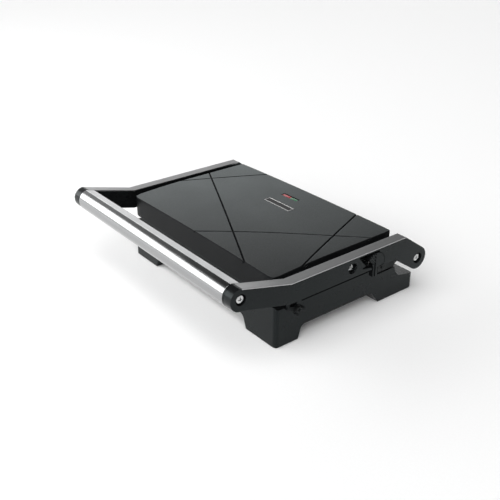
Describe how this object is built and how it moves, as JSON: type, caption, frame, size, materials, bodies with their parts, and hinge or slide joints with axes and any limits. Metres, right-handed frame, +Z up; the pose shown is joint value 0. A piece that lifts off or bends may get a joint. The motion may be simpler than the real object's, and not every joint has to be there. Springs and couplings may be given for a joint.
{
  "type": "panini press",
  "caption": "Table-top contact grill: ribbed plates in a footed base and a tilting lid, joined by side arms with a round front handle, opening flat.",
  "frame": {"origin": "centre of the footprint, on the table under the foot pads", "axes": "+X towards the right arm (user facing the handle), +Y to the rear hinge, +Z up"},
  "size_m": [0.295, 0.265, 0.0958],
  "materials": {
    "black_plastic": "fine-textured black moulding",
    "graphite_shell": "satin graphite lacquer",
    "lip_plastic": "dark heat-proof moulding",
    "satin_trim": "satin brushed",
    "polished_tube": "polished tube",
    "bright_steel": "bright plated",
    "screw_steel": "zinc plated",
    "black_steel": "black coated pressing",
    "cast_plate": "cast, non-stick coated",
    "heater_tube": "oxidised sheath",
    "aluminium_sheet": "bright sheet",
    "ceramic": "ceramic white",
    "rubber": "matt",
    "red_lens": "translucent red",
    "green_lens": "translucent green",
    "lamp_carrier": "pale board"
  },
  "bodies": {
    "base": {"base_casing": "black_plastic", "foot_pad_front_left": "rubber", "foot_pad_front_right": "rubber", "foot_pad_rear_left": "rubber", "foot_pad_rear_right": "rubber", "lower_grill_plate": "cast_plate", "lower_heating_element": "heater_tube", "lower_heat_reflector": "aluminium_sheet", "lower_thermostat": "ceramic", "lower_plate_screw_front": "screw_steel", "lower_plate_screw_rear": "screw_steel", "terminal_block": "ceramic", "cord_gland": "rubber", "hinge_bracket_right": "black_steel", "hinge_bracket_left": "black_steel", "bracket_screw_right": "black_steel", "bracket_screw_left": "black_steel", "hinge_pin_right": "screw_steel", "hinge_pin_left": "screw_steel", "hinge_washer_right": "lip_plastic", "hinge_washer_left": "lip_plastic", "hinge_screw_right": "bright_steel", "hinge_screw_left": "bright_steel", "storage_lock_screw": "black_steel"},
    "arms": {"arm_right": "black_plastic", "arm_left": "black_plastic", "arm_inner_cover_right": "black_plastic", "arm_inner_cover_left": "black_plastic", "arm_trim_right": "satin_trim", "arm_trim_left": "satin_trim", "handle_tube": "polished_tube", "handle_strip": "satin_trim", "handle_plug_right": "black_plastic", "handle_plug_left": "black_plastic", "handle_screw_right": "bright_steel", "handle_screw_left": "bright_steel", "release_pivot_pin": "screw_steel", "release_spring": "screw_steel", "lid_supply_lead": "rubber"},
    "lid": {"lid_cover": "graphite_shell", "lid_frame": "lip_plastic", "upper_grill_plate": "cast_plate", "upper_heating_element": "heater_tube", "upper_heat_reflector": "aluminium_sheet", "upper_thermostat": "ceramic", "upper_plate_screw_front": "screw_steel", "upper_plate_screw_rear": "screw_steel", "power_lamp_lens": "red_lens", "ready_lamp_lens": "green_lens", "neon_lamp_carrier": "lamp_carrier", "name_plate": "satin_trim", "pivot_block_right": "lip_plastic", "pivot_block_left": "lip_plastic", "pivot_bush_right": "lip_plastic", "pivot_bush_left": "lip_plastic", "pivot_screw_right": "bright_steel", "pivot_screw_left": "bright_steel"},
    "release": {"release_lever": "black_plastic"},
    "storage_lock": {"storage_lock_hook": "lip_plastic"}
  },
  "joints": [
    {"name": "main_hinge", "type": "hinge", "parent": "base", "child": "arms", "pos_m": [0, 0.1173, 0.0481], "axis": [-1, 0, 0], "range_deg": [0, 180]},
    {"name": "lid_tilt", "type": "hinge", "parent": "arms", "child": "lid", "pos_m": [0, 0.0182, 0.0683], "axis": [1, 0, 0], "range_deg": [-2, 2]},
    {"name": "release_lever_turn", "type": "hinge", "parent": "arms", "child": "release", "pos_m": [0.144, 0.0525, 0.0635], "axis": [1, 0, 0], "range_deg": [0, 12], "stiffness_Nm_per_rad": 0.05},
    {"name": "storage_lock_turn", "type": "hinge", "parent": "base", "child": "storage_lock", "pos_m": [0.1336, -0.0423, 0.0391], "axis": [-1, 0, 0], "range_deg": [0, 46]}
  ]
}
